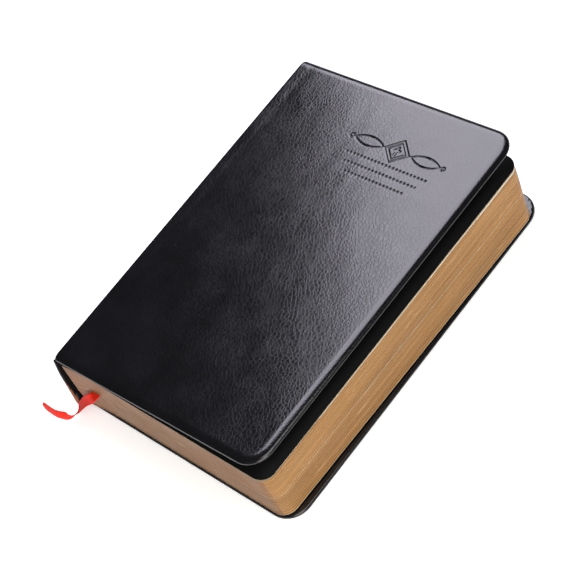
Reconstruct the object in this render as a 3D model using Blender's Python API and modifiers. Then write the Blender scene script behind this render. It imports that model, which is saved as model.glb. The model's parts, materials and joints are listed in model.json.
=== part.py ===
"""A thick soft-cover bible, lying on its back cover with the front cover a little ajar.

Frame: metres, +Z up. X runs from the spine to the fore-edge, Y from the tail to the head.
The origin is under the middle of the covers, on the surface that the book lies on.
"""

import math

import bmesh
import bpy
from mathutils import Vector

# Driving sizes
COVER_WIDTH = 0.148
COVER_HEIGHT = 0.210
SECTION_THICKNESS = 0.0016
REAR_SECTIONS = 9
MIDDLE_SECTIONS = 4
FRONT_SECTIONS = 5

# The covers, from the outside in
LEATHER = 0.0007
TURN_IN = 0.0005
TURN_IN_WIDTH = 0.014
BOARD = 0.0008
PASTEDOWN = 0.00025
PASTEDOWN_MARGIN = 0.0035
COVER_CORNER = 0.013
COVER_SPINE_CORNER = 0.0015
COVER_EDGE_ROUND = 0.0009

# The pages
FORE_EDGE_SQUARE = 0.0046
TAIL_SQUARE = 0.0010
PAGE_CORNER = 0.0075
BLOCK_LEAN = 0.0009
FOLD_ROUND_SHARE = 0.45
FLYLEAF = 0.00025

# The spine, from the outside in
SPINE_LEATHER = 0.0009
SPINE_LINER = 0.0004
SPINE_HOLLOW = 0.0020
MULL = 0.0004
THREAD = 0.00045
RUN_THREAD_RADIUS = 0.00018
LINER_MARGIN = 0.0015
MULL_MARGIN = 0.008
SEWING_STATIONS = 6

# The ribbon
RIBBON_WIDTH = 0.0055
RIBBON_THICKNESS = 0.0003
RIBBON_ANCHOR_X = 0.0115
RIBBON_ANCHOR_MARGIN = 0.008
RIBBON_STRAIGHT = 0.004
RIBBON_STEPS = 5

# Rest pose
AJAR = math.radians(5.9)
FLYLEAF_SHARE = 0.09

# Clearances
GAP = 0.0003
INNER_GAP = 0.00025
ARC_STEPS = 8
SAME_POINT = 0.000001

# Heights of the closed book
BACK_TURN_IN_TOP = LEATHER + INNER_GAP + BOARD + INNER_GAP + TURN_IN
COVER_THICKNESS = BACK_TURN_IN_TOP + INNER_GAP + PASTEDOWN
BACK_FLYLEAF_BOTTOM = COVER_THICKNESS + GAP
BLOCK_BOTTOM = BACK_FLYLEAF_BOTTOM + FLYLEAF + GAP
RIBBON_SLOT = RIBBON_THICKNESS + 2 * GAP


def pile_height(count):
    """The height of some sections lying on each other with a gap between them."""
    return count * SECTION_THICKNESS + (count - 1) * GAP


REAR_TOP = BLOCK_BOTTOM + pile_height(REAR_SECTIONS)
MIDDLE_BOTTOM = REAR_TOP + RIBBON_SLOT
MIDDLE_TOP = MIDDLE_BOTTOM + pile_height(MIDDLE_SECTIONS)
FRONT_BOTTOM = MIDDLE_TOP + GAP
BLOCK_TOP = FRONT_BOTTOM + pile_height(FRONT_SECTIONS)
FRONT_FLYLEAF_BOTTOM = BLOCK_TOP + GAP
FRONT_COVER_BOTTOM = FRONT_FLYLEAF_BOTTOM + FLYLEAF + GAP
FRONT_TURN_IN_BOTTOM = FRONT_COVER_BOTTOM + PASTEDOWN + INNER_GAP

# Places across the width, measured from the outside of the spine
LINER_X = SPINE_LEATHER + INNER_GAP
MULL_X = LINER_X + SPINE_LINER + SPINE_HOLLOW
THREAD_X = MULL_X + MULL + GAP
BLOCK_SPINE_X = THREAD_X + THREAD + GAP
BLOCK_WIDTH = COVER_WIDTH - FORE_EDGE_SQUARE - BLOCK_SPINE_X

# Every joint's axis runs along the height of the book, at the outside of the spine
BACK_AXIS_Z = BACK_TURN_IN_TOP + GAP / 2
RIBBON_AXIS_Z = REAR_TOP + RIBBON_SLOT / 2
FRONT_OPENING_Z = MIDDLE_TOP + GAP / 2
FRONT_AXIS_Z = FRONT_TURN_IN_BOTTOM - GAP / 2

# From the spine-tail corner to the origin under the middle of the book
TO_ORIGIN = Vector((-COVER_WIDTH / 2, -COVER_HEIGHT / 2, 0))

MATERIALS = {
    "leather": ((0.012, 0.012, 0.014, 1), 0.42),
    "board": ((0.28, 0.25, 0.21, 1), 0.9),
    "endpaper": ((0.012, 0.012, 0.012, 1), 0.8),
    "gilt_pages": ((0.50, 0.34, 0.17, 1), 0.45),
    "mull": ((0.75, 0.72, 0.64, 1), 0.95),
    "thread": ((0.85, 0.83, 0.76, 1), 0.8),
    "ribbon": ((0.85, 0.03, 0.02, 1), 0.45),
}


def clear_scene():
    for old in list(bpy.data.objects):
        bpy.data.objects.remove(old, do_unlink=True)


def new_collection(name):
    collection = bpy.data.collections.new(name)
    bpy.context.scene.collection.children.link(collection)
    return collection


def material(name):
    found = bpy.data.materials.get(name)
    if found:
        return found
    colour, roughness = MATERIALS[name]
    made = bpy.data.materials.new(name)
    made.use_nodes = True
    shader = made.node_tree.nodes["Principled BSDF"]
    shader.inputs["Base Color"].default_value = colour
    shader.inputs["Roughness"].default_value = roughness
    shader.inputs["Metallic"].default_value = 0.0
    made.diffuse_color = colour
    return made


def joint_axis(name, x, z, y=COVER_HEIGHT / 2):
    """An empty on a joint's axis, which the pieces that turn about it are parented to."""
    empty = bpy.data.objects.new(name, None)
    empty.location = Vector((x, y, z)) + TO_ORIGIN
    empty.empty_display_size = 0.01
    book.objects.link(empty)
    return empty


def hang(piece, empty):
    """Parents a piece that was made in the closed book's place to its axis."""
    piece.parent = empty
    piece.location = TO_ORIGIN - empty.location
    return piece


def corner_arc(centre_x, centre_y, radius, start):
    """Points along a quarter circle that begins at an angle in degrees."""
    points = []
    for step in range(ARC_STEPS + 1):
        angle = math.radians(start + 90 * step / ARC_STEPS)
        points.append((centre_x + radius * math.cos(angle), centre_y + radius * math.sin(angle)))
    return points


def rounded_outline(x0, x1, y0, y1, spine_radius, fore_radius):
    """A rectangle whose two spine corners and two fore-edge corners are rounded."""
    corners = [
        (x1, y0, fore_radius, -90, -1, 1),
        (x1, y1, fore_radius, 0, -1, -1),
        (x0, y1, spine_radius, 90, 1, -1),
        (x0, y0, spine_radius, 180, 1, 1),
    ]
    points = []
    for x, y, radius, start, inward_x, inward_y in corners:
        if radius > 0:
            points += corner_arc(x + inward_x * radius, y + inward_y * radius, radius, start)
        else:
            points.append((x, y))
    return points


def slab(name, outline, z0, z1, finish, collection):
    """A flat piece: an outline in the book's plane, filled and given its thickness."""
    curve = bpy.data.curves.new(name, "CURVE")
    curve.dimensions = "2D"
    curve.fill_mode = "BOTH"
    curve.extrude = (z1 - z0) / 2
    spline = curve.splines.new("POLY")
    spline.points.add(len(outline) - 1)
    for point, (x, y) in zip(spline.points, outline):
        point.co = (x, y, 0, 1)
    spline.use_cyclic_u = True
    flat = bpy.data.objects.new(name + "_outline", curve)
    bpy.context.scene.collection.objects.link(flat)
    bpy.context.view_layer.update()
    evaluated = flat.evaluated_get(bpy.context.evaluated_depsgraph_get())
    mesh = bpy.data.meshes.new_from_object(evaluated)
    bpy.data.objects.remove(flat, do_unlink=True)
    bpy.data.curves.remove(curve)
    shape = bmesh.new()
    shape.from_mesh(mesh)
    bmesh.ops.remove_doubles(shape, verts=shape.verts, dist=SAME_POINT)
    bmesh.ops.dissolve_limit(shape, angle_limit=0.01, verts=shape.verts, edges=shape.edges)
    bmesh.ops.translate(shape, verts=shape.verts, vec=(0, 0, (z0 + z1) / 2))
    bmesh.ops.recalc_face_normals(shape, faces=shape.faces)
    shape.to_mesh(mesh)
    shape.free()
    mesh.name = name
    if finish:
        mesh.materials.clear()
        mesh.materials.append(material(finish))
    piece = bpy.data.objects.new(name, mesh)
    collection.objects.link(piece)
    return piece


def round_edges(piece, width, segments):
    bevel = piece.modifiers.new("edge_round", "BEVEL")
    bevel.width = width
    bevel.segments = segments
    bevel.limit_method = "ANGLE"
    bevel.angle_limit = math.radians(50)


def cut(piece, cutter):
    cutter.hide_render = True
    cutter.display_type = "WIRE"
    boolean = piece.modifiers.new("cut_" + cutter.name, "BOOLEAN")
    boolean.operation = "DIFFERENCE"
    boolean.solver = "EXACT"
    boolean.object = cutter


def cover(side, axis, leather_z, skin_up):
    """One cover: the leather with its turn-ins, the board inside it and the pastedown.

    leather_z is the lower face of the leather, and skin_up says whether the skin is on top.
    """

    def stack(low, high):
        """Heights above the turn-in's face, turned over for the back cover."""
        if skin_up:
            return leather_z + low, leather_z + high
        return leather_z + BACK_TURN_IN_TOP - high, leather_z + BACK_TURN_IN_TOP - low

    def inset(margin, corner_margin):
        return rounded_outline(
            margin,
            COVER_WIDTH - margin,
            margin,
            COVER_HEIGHT - margin,
            max(COVER_SPINE_CORNER - corner_margin, 0),
            COVER_CORNER - corner_margin,
        )

    hollow_low, hollow_high = TURN_IN, BACK_TURN_IN_TOP - LEATHER
    skin = stack(0, BACK_TURN_IN_TOP)
    leather = slab(side + "_cover_leather", inset(0, 0), *skin, "leather", book)
    round_edges(leather, COVER_EDGE_ROUND, 3)
    inside = stack(hollow_low, hollow_high)
    hollow = slab(side + "_cover_hollow", inset(LEATHER, LEATHER), *inside, None, cutters)
    turn_in_x, turn_in_y = COVER_WIDTH - TURN_IN_WIDTH, COVER_HEIGHT - TURN_IN_WIDTH
    opening = rounded_outline(LEATHER, turn_in_x, TURN_IN_WIDTH, turn_in_y, 0, 0)
    through = stack(-TURN_IN, (hollow_low + hollow_high) / 2)
    window = slab(side + "_cover_window", opening, *through, None, cutters)
    board_inset = LEATHER + INNER_GAP
    board = slab(
        side + "_cover_board",
        inset(board_inset, board_inset),
        *stack(TURN_IN + INNER_GAP, TURN_IN + INNER_GAP + BOARD),
        "board",
        book,
    )
    pastedown = slab(
        side + "_pastedown",
        inset(PASTEDOWN_MARGIN, PASTEDOWN_MARGIN),
        *stack(-INNER_GAP - PASTEDOWN, -INNER_GAP),
        "endpaper",
        book,
    )
    for cutter in (hollow, window):
        cut(leather, cutter)
        hang(cutter, axis)
    for piece in (leather, board, pastedown):
        hang(piece, axis)


def lean_at(z):
    """How far the pages have slid out past the top ones at a height in the block."""
    return BLOCK_LEAN * (BLOCK_TOP - z) / (BLOCK_TOP - BLOCK_BOTTOM)


def page_outline(shift):
    return rounded_outline(
        BLOCK_SPINE_X + shift,
        BLOCK_SPINE_X + shift + BLOCK_WIDTH,
        TAIL_SQUARE,
        COVER_HEIGHT - TAIL_SQUARE,
        0,
        PAGE_CORNER,
    )


def section(number, z, axis):
    """One folded section: square at its three gilt edges, round at its fold."""
    shift = lean_at(z)
    name = f"section_{number:02d}"
    piece = slab(name, page_outline(shift), z, z + SECTION_THICKNESS, "gilt_pages", book)
    mesh = piece.data
    fold_weight = mesh.attributes.new("bevel_weight_edge", "FLOAT", "EDGE")
    for edge in mesh.edges:
        a, b = (mesh.vertices[i].co for i in edge.vertices)
        along_fold = abs(a.y - b.y) > COVER_HEIGHT / 2
        at_spine = max(a.x, b.x) < BLOCK_SPINE_X + shift + SECTION_THICKNESS
        fold_weight.data[edge.index].value = 1.0 if along_fold and at_spine else 0.0
    fold = piece.modifiers.new("fold_round", "BEVEL")
    fold.width = SECTION_THICKNESS * FOLD_ROUND_SHARE
    fold.segments = 4
    fold.limit_method = "WEIGHT"
    hang(piece, axis)


def strip(name, x, thickness, z0, z1, margin, finish, axis):
    """A strip along the spine, such as the leather, the liner or the mull."""
    outline = rounded_outline(x, x + thickness, margin, COVER_HEIGHT - margin, 0, 0)
    return hang(slab(name, outline, z0, z1, finish, book), axis)


def rod(name, radius, length, finish, collection):
    """A round rod along Z with its middle at the origin."""
    shape = bmesh.new()
    bmesh.ops.create_cone(
        shape, cap_ends=True, segments=10, radius1=radius, radius2=radius, depth=length
    )
    mesh = bpy.data.meshes.new(name)
    shape.to_mesh(mesh)
    shape.free()
    if finish:
        mesh.materials.append(material(finish))
    mesh.shade_smooth()
    piece = bpy.data.objects.new(name, mesh)
    collection.objects.link(piece)
    return piece


def sewing_thread(name, z0, z1, shift, axis):
    """One thread: a run along the folds, and an upright at each sewing station."""
    first, last = MULL_MARGIN * 2, COVER_HEIGHT - MULL_MARGIN * 2
    centre_x = THREAD_X + shift + THREAD / 2
    run = rod(name, RUN_THREAD_RADIUS, last - first, "thread", book)
    run.rotation_euler.x = math.radians(90)
    run.parent = axis
    run.location = Vector((centre_x, COVER_HEIGHT / 2, z0 + THREAD)) + TO_ORIGIN - axis.location
    for station in range(SEWING_STATIONS):
        upright = rod(f"{name}_upright_{station + 1}", THREAD / 2, z1 - z0, None, cutters)
        upright.hide_render = True
        upright.display_type = "WIRE"
        upright.parent = axis
        y = first + (last - first) * station / (SEWING_STATIONS - 1)
        upright.location = Vector((centre_x, y, (z0 + z1) / 2)) + TO_ORIGIN - axis.location
        join = run.modifiers.new(f"join_{station + 1}", "BOOLEAN")
        join.operation = "UNION"
        join.solver = "EXACT"
        join.object = upright


def block(part, first_number, count, z_bottom, leather_z0, leather_z1, axis):
    """A run of sections that turns as one, with its length of the spine's layers."""
    for index in range(count):
        section(first_number + index, z_bottom + index * (SECTION_THICKNESS + GAP), axis)
    z_top = z_bottom + pile_height(count)
    shift = lean_at(z_top)
    strip(f"spine_leather_{part}", 0, SPINE_LEATHER, leather_z0, leather_z1, 0, "leather", axis)
    strip(f"spine_liner_{part}", LINER_X, SPINE_LINER, leather_z0, leather_z1, LINER_MARGIN, "board", axis)
    strip(f"mull_{part}", MULL_X + shift, MULL, z_bottom, z_top, MULL_MARGIN, "mull", axis)
    sewing_thread(f"sewing_thread_{part}", z_bottom, z_top, shift, axis)


def flyleaf(name, z, shift, axis):
    leaf = slab(name, page_outline(shift), z, z + FLYLEAF, "endpaper", book)
    hang(leaf, axis)


def smooth_route(points, per_span):
    """Points on a Catmull-Rom curve through the given points."""
    ends = [points[0] * 2 - points[1]] + points + [points[-1] * 2 - points[-2]]
    route = []
    for a, b, c, d in zip(ends, ends[1:], ends[2:], ends[3:]):
        for step in range(per_span):
            t = step / per_span
            straight = 2 * b + (c - a) * t
            curved = (2 * a - 5 * b + 4 * c - d) * t**2 + (3 * b - a - 3 * c + d) * t**3
            route.append((straight + curved) / 2)
    route.append(points[-1])
    return route


def ribbon_marker(axis):
    """The ribbon: glued at the head, laid between two sections, its tail on the table."""
    slot = RIBBON_AXIS_Z
    anchor = Vector((RIBBON_ANCHOR_X, COVER_HEIGHT - RIBBON_ANCHOR_MARGIN, slot))
    leaves = Vector((0.0200, TAIL_SQUARE + RIBBON_STRAIGHT, slot))
    # Each point of the free tail, with the direction across the ribbon there
    tail = [
        (anchor, (1, 0, 0)),
        (anchor.lerp(leaves, 0.5), (1, 0, 0)),
        (anchor.lerp(leaves, 0.9), (1, 0, 0)),
        (leaves, (1, 0, 0)),
        (Vector((0.0200, -0.0002, slot)), (1, 0.05, 0)),
        (Vector((0.0188, -0.0026, slot - 0.0006)), (1, -0.1, -0.05)),
        (Vector((0.0130, -0.0044, slot - 0.0056)), (0.95, -0.3, 0.05)),
        (Vector((0.0077, -0.0074, 0.0090)), (0.8, -0.6, 0.1)),
        (Vector((0.0045, -0.0101, 0.0046)), (0.1, -0.85, 0.5)),
        (Vector((0.0004, -0.0128, 0.0032)), (0, 0.3, 0.95)),
        (Vector((-0.0044, -0.0145, 0.0031)), (0, 0.3, 0.95)),
        (Vector((-0.0091, -0.0149, 0.0030)), (0, 0.3, 0.95)),
        (Vector((-0.0166, -0.0145, 0.0030)), (0, 0.3, 0.95)),
    ]
    centres = smooth_route([point for point, across in tail], RIBBON_STEPS)
    widths = smooth_route([Vector(across).normalized() for point, across in tail], RIBBON_STEPS)
    shape = bmesh.new()
    rows = []
    for index, (centre, across) in enumerate(zip(centres, widths)):
        before, after = centres[max(index - 1, 0)], centres[min(index + 1, len(centres) - 1)]
        run = (after - before).normalized()
        side = (across - run * across.dot(run)).normalized() * (RIBBON_WIDTH / 2)
        rows.append((shape.verts.new(centre - side), shape.verts.new(centre + side)))
    for (a, b), (c, d) in zip(rows, rows[1:]):
        shape.faces.new((a, b, d, c))
    mesh = bpy.data.meshes.new("ribbon_marker")
    shape.to_mesh(mesh)
    shape.free()
    mesh.materials.append(material("ribbon"))
    piece = bpy.data.objects.new("ribbon_marker", mesh)
    book.objects.link(piece)
    solid = piece.modifiers.new("ribbon_thickness", "SOLIDIFY")
    solid.thickness = RIBBON_THICKNESS
    solid.offset = 0
    hang(piece, axis)


clear_scene()
book = new_collection("bible")
cutters = new_collection("cutters")

back_axis = joint_axis("back_cover_axis", 0, BACK_AXIS_Z)
ribbon_opening_axis = joint_axis("ribbon_opening_axis", 0, RIBBON_AXIS_Z)
front_opening_axis = joint_axis("front_opening_axis", 0, FRONT_OPENING_Z)
front_axis = joint_axis("front_cover_axis", 0, FRONT_AXIS_Z)
front_leaf_axis = joint_axis("front_flyleaf_axis", BLOCK_SPINE_X, FRONT_FLYLEAF_BOTTOM)
back_leaf_axis = joint_axis("back_flyleaf_axis", BLOCK_SPINE_X + BLOCK_LEAN, BACK_FLYLEAF_BOTTOM)
ribbon_end_y = COVER_HEIGHT - RIBBON_ANCHOR_MARGIN
ribbon_axis = joint_axis("ribbon_axis", RIBBON_ANCHOR_X, RIBBON_AXIS_Z, ribbon_end_y)

cover("back", back_axis, 0, skin_up=False)
block("rear", 1, REAR_SECTIONS, BLOCK_BOTTOM, BACK_AXIS_Z + GAP / 2, RIBBON_AXIS_Z - GAP / 2, back_axis)
block(
    "middle",
    REAR_SECTIONS + 1,
    MIDDLE_SECTIONS,
    MIDDLE_BOTTOM,
    RIBBON_AXIS_Z + GAP / 2,
    FRONT_OPENING_Z - GAP / 2,
    ribbon_opening_axis,
)
block(
    "front",
    REAR_SECTIONS + MIDDLE_SECTIONS + 1,
    FRONT_SECTIONS,
    FRONT_BOTTOM,
    FRONT_OPENING_Z + GAP / 2,
    FRONT_AXIS_Z - GAP / 2,
    front_opening_axis,
)
cover("front", front_axis, FRONT_TURN_IN_BOTTOM, skin_up=True)
flyleaf("front_flyleaf", FRONT_FLYLEAF_BOTTOM, 0, front_leaf_axis)
flyleaf("back_flyleaf", BACK_FLYLEAF_BOTTOM, BLOCK_LEAN, back_leaf_axis)
ribbon_marker(ribbon_axis)

# The front cover stands ajar, and the flyleaf under it has lifted a little
front_axis.rotation_euler.y = -AJAR
front_leaf_axis.rotation_euler.y = -AJAR * FLYLEAF_SHARE
bpy.context.view_layer.update()
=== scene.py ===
# %% [markdown]
# A soft-cover bible, dressed for the camera
#
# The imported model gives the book's plain solids, each at its true size and place. This lesson puts the
# looks on them: grained leather with a rolled edge, dull gilt page edges, black endpapers and a red ribbon.
# Each step first says what the piece is on a real book and why it is made in the way that follows.

# %% Load the fixed frame
import json
import math
import random

import bpy
import numpy as np
from mathutils import Matrix, Vector, noise


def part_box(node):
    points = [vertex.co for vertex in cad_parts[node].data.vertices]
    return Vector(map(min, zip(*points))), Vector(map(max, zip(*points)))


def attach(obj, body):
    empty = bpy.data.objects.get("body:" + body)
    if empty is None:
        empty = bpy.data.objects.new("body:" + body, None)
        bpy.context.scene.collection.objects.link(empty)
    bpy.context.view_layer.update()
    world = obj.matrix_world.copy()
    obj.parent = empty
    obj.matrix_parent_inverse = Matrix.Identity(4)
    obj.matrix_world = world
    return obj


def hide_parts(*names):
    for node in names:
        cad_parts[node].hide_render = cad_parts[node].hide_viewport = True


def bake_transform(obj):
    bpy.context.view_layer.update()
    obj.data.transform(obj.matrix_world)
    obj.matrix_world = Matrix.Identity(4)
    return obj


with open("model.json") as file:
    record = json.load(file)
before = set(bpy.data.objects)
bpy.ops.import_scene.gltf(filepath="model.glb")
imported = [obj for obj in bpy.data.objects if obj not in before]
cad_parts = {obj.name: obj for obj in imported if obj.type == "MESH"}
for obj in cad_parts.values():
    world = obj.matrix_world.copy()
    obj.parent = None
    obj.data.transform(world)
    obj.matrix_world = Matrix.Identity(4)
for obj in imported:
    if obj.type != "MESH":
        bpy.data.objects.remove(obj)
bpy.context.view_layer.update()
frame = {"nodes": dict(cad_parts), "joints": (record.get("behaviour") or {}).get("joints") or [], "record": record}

# %% [markdown]
# Every size is read from the frame. The covers lie in the book's own plane, with x from the spine to the
# fore-edge and y from the tail to the head, so most shapes are drawn in that corner-based plane and moved
# to the frame's origin at the end. The front cover is drawn shut and then turned ajar about its joint.

# %% Sizes from the frame
MM = 0.001
joints = {joint["name"]: joint for joint in frame["joints"]}
back_low, back_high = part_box("back_cover_leather")
WIDTH = back_high.x - back_low.x
HEIGHT = back_high.y - back_low.y
COVER = back_high.z - back_low.z
CORNER_PLACE = Vector((back_low.x, back_low.y, 0))
AJAR = -math.radians(joints["front_cover_joint"]["range_deg"][0])
FRONT_AXIS = Vector(joints["front_cover_joint"]["pos_m"])
BACK_AXIS = Vector(joints["back_cover_joint"]["pos_m"])
RIBBON_AXIS = Vector(joints["ribbon_opening"]["pos_m"])
FRONT_OPENING = Vector(joints["front_opening"]["pos_m"])
FRONT_SKIN_Z = FRONT_AXIS.z + 0.15 * MM
COVER_CORNER = 13 * MM
CORNERS = ((COVER_CORNER, -1), (HEIGHT - COVER_CORNER, 1))
TURN_IN = 14 * MM
print(f"covers {WIDTH / MM:.0f} x {HEIGHT / MM:.0f} x {COVER / MM:.1f} mm")
print(f"front cover ajar by {math.degrees(AJAR):.1f} degrees")

# %% [markdown]
# The camera looks down at the tail and the fore-edge from about a metre away, rolled so that the book lies
# across the frame from corner to corner. Its place is given as a direction, a distance and a roll around
# the point it aims at, because those are the numbers a photographer would write down.

# %% Camera
CAMERA_AIM = Vector((-3.6, -5.9, 20)) * MM
CAMERA_DISTANCE = 0.9917
CAMERA_AZIMUTH = math.radians(63.49)
CAMERA_ELEVATION = math.radians(51.26)
CAMERA_ROLL = math.radians(-29.77)


def aimed(direction, roll_right):
    """A rotation whose +Z is direction and whose +X is as near as it can be to roll_right."""
    back = direction.normalized()
    right = (roll_right - back * roll_right.dot(back)).normalized()
    up = back.cross(right)
    return Matrix((right, up, back)).transposed().to_4x4()


level_back = Vector((math.sin(CAMERA_AZIMUTH), -math.cos(CAMERA_AZIMUTH), 0))
camera_back = level_back * math.cos(CAMERA_ELEVATION) + Vector((0, 0, math.sin(CAMERA_ELEVATION)))
level_right = Vector((math.cos(CAMERA_AZIMUTH), math.sin(CAMERA_AZIMUTH), 0))
level_up = camera_back.cross(level_right)
rolled_right = level_right * math.cos(CAMERA_ROLL) + level_up * math.sin(CAMERA_ROLL)
camera_data = bpy.data.cameras.new("camera")
camera_data.lens = 122.9
camera_data.sensor_width = 36
camera = bpy.data.objects.new("camera", camera_data)
bpy.context.scene.collection.objects.link(camera)
place = Matrix.Translation(CAMERA_AIM + camera_back * CAMERA_DISTANCE)
camera.matrix_world = place @ aimed(camera_back, rolled_right)
bpy.context.scene.camera = camera
bpy.context.scene.view_settings.view_transform = "Standard"
print("camera at", [round(value, 3) for value in camera.location])

# %% [markdown]
# Black leather has almost no colour of its own, so what it shows is the light that it mirrors. One large
# softbox stands where the cover mirrors it into the camera, and its edge falls across the cover as the
# border between the bright and the dark half. The other boxes stand where the cover doesn't mirror them:
# they light the gilt edges and the floor.

# %% Lights and floor
def softbox(name, location, aim, across, width, length, power, colour=(1, 1, 1)):
    data = bpy.data.lights.new(name, "AREA")
    data.shape = "RECTANGLE"
    data.size = width
    data.size_y = length
    data.energy = power
    data.color = colour
    box = bpy.data.objects.new(name, data)
    bpy.context.scene.collection.objects.link(box)
    place = Vector(location)
    box.matrix_world = Matrix.Translation(place) @ aimed(place - Vector(aim), Vector(across))
    return box


SHEEN_PLACE = (-0.433, 0.467, 0.732)
SHEEN_AIM = (0.03, 0.05, 0.05)
SHEEN_ACROSS = (0.692, 0.594, 0.41)
BLOCK_AIM = (0, 0, 0.02)
softbox("sheen_box", SHEEN_PLACE, SHEEN_AIM, SHEEN_ACROSS, 0.52, 0.9, 10.6, (0.91, 0.88, 1))
softbox("fore_edge_box", (0.5, -0.36, 0.25), BLOCK_AIM, (0, 1, 0), 0.4, 0.4, 2.5, (1, 0.95, 0.86))
softbox("tail_box", (0.05, -0.95, 0.55), BLOCK_AIM, (1, 0, 0), 0.6, 0.6, 0.2, (1, 0.9, 0.86))
softbox("top_box", (0.8, -0.15, 1.3), (0, 0, 0), (1, 0, 0), 0.9, 0.9, 10)

world = bpy.data.worlds.new("studio")
world.use_nodes = True
world.node_tree.nodes["Background"].inputs["Color"].default_value = (1, 1, 1, 1)
world.node_tree.nodes["Background"].inputs["Strength"].default_value = 0.06
bpy.context.scene.world = world

floor_mesh = bpy.data.meshes.new("floor")
floor_mesh.from_pydata([(-4, -4, 0), (4, -4, 0), (4, 4, 0), (-4, 4, 0)], [], [(0, 1, 2, 3)])
floor = bpy.data.objects.new("floor", floor_mesh)
floor.location.z = -0.0002
bpy.context.scene.collection.objects.link(floor)
floor_paint = bpy.data.materials.new("floor")
floor_paint.use_nodes = True
floor_shader = floor_paint.node_tree.nodes["Principled BSDF"]
floor_shader.inputs["Base Color"].default_value = (0.93, 0.93, 0.93, 1)
floor_shader.inputs["Roughness"].default_value = 0.9
floor_shader.inputs["Specular IOR Level"].default_value = 0.1
floor_shader.inputs["Emission Color"].default_value = (1, 1, 1, 1)
floor_shader.inputs["Emission Strength"].default_value = 0.45
floor_mesh.materials.append(floor_paint)

# %% [markdown]
# Materials are node trees. A few short helpers keep them readable: one adds a node and fills its inputs,
# one starts a group with named sockets, and one starts a material around its Principled shader.

# %% Node helpers
def add_node(tree, kind, inputs=None, **settings):
    """Adds a node. inputs maps a socket's name or number to a value or to the output that feeds it."""
    node = tree.nodes.new(kind)
    for key, value in settings.items():
        setattr(node, key, value)
    for key, value in (inputs or {}).items():
        if isinstance(value, bpy.types.NodeSocket):
            tree.links.new(value, node.inputs[key])
        else:
            node.inputs[key].default_value = value
    return node


def start_group(name, inputs, outputs):
    """A shader node group with named value inputs and outputs."""
    group = bpy.data.node_groups.new(name, "ShaderNodeTree")
    for label, default in inputs.items():
        socket = group.interface.new_socket(label, in_out="INPUT", socket_type="NodeSocketFloat")
        socket.default_value = default
    for label in outputs:
        group.interface.new_socket(label, in_out="OUTPUT", socket_type="NodeSocketFloat")
    return group, group.nodes.new("NodeGroupInput"), group.nodes.new("NodeGroupOutput")


def use_group(tree, group, **values):
    node = tree.nodes.new("ShaderNodeGroup")
    node.node_tree = group
    for label, value in values.items():
        node.inputs[label.replace("_", " ")].default_value = value
    return node


def start_material(name, **constants):
    """A material whose Principled shader has these constants, such as Sheen_Weight=0.3."""
    made = bpy.data.materials.new(name)
    made.use_nodes = True
    shader = made.node_tree.nodes["Principled BSDF"]
    for label, value in constants.items():
        shader.inputs[label.replace("_", " ")].default_value = value
    return made, made.node_tree, shader


def maths(tree, operation, a, b, clamp=False):
    node = add_node(tree, "ShaderNodeMath", {0: a, 1: b}, operation=operation, use_clamp=clamp)
    return node.outputs[0]


def remap(tree, value, from_low, from_high, to_low, to_high):
    """Turns one range of values into another, and clamps it there."""
    ends = {"From Min": from_low, "From Max": from_high, "To Min": to_low, "To Max": to_high}
    return add_node(tree, "ShaderNodeMapRange", {"Value": value, **ends}).outputs["Result"]


def shade(tree, amount, dark, light):
    """A colour between two others."""
    mix = add_node(tree, "ShaderNodeMix", data_type="RGBA")
    tree.links.new(amount, mix.inputs["Factor"])
    mix.inputs["A"].default_value = (*dark, 1)
    mix.inputs["B"].default_value = (*light, 1)
    return mix.outputs["Result"]


def tint(tree, amount, colour, other, blend="MIX"):
    """Blends a constant colour into another colour by an amount."""
    mix = add_node(tree, "ShaderNodeMix", data_type="RGBA", blend_type=blend)
    tree.links.new(amount, mix.inputs["Factor"])
    tree.links.new(colour, mix.inputs["A"])
    mix.inputs["B"].default_value = (*other, 1)
    return mix.outputs["Result"]


def add_bump(tree, shader, height, depth, strength):
    bump = add_node(tree, "ShaderNodeBump", {"Height": height, "Distance": depth, "Strength": strength})
    tree.links.new(bump.outputs["Normal"], shader.inputs["Normal"])


def place_of(tree, scale=(1, 1, 1)):
    """The place on the piece, stretched by a scale, for a texture to read."""
    spot = add_node(tree, "ShaderNodeTexCoord")
    return add_node(tree, "ShaderNodeMapping", {"Vector": spot.outputs["Object"], "Scale": scale}).outputs[0]


# %% [markdown]
# Pressed leather grain is a field of small rounded pebbles with fine creases between them, and pores on
# top. A Voronoi texture's distance to the nearest cell edge is exactly that: high in a pebble, zero in a
# crease. Its coordinates are bent a little by a noise, or the cells would look like cracked glass.

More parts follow.
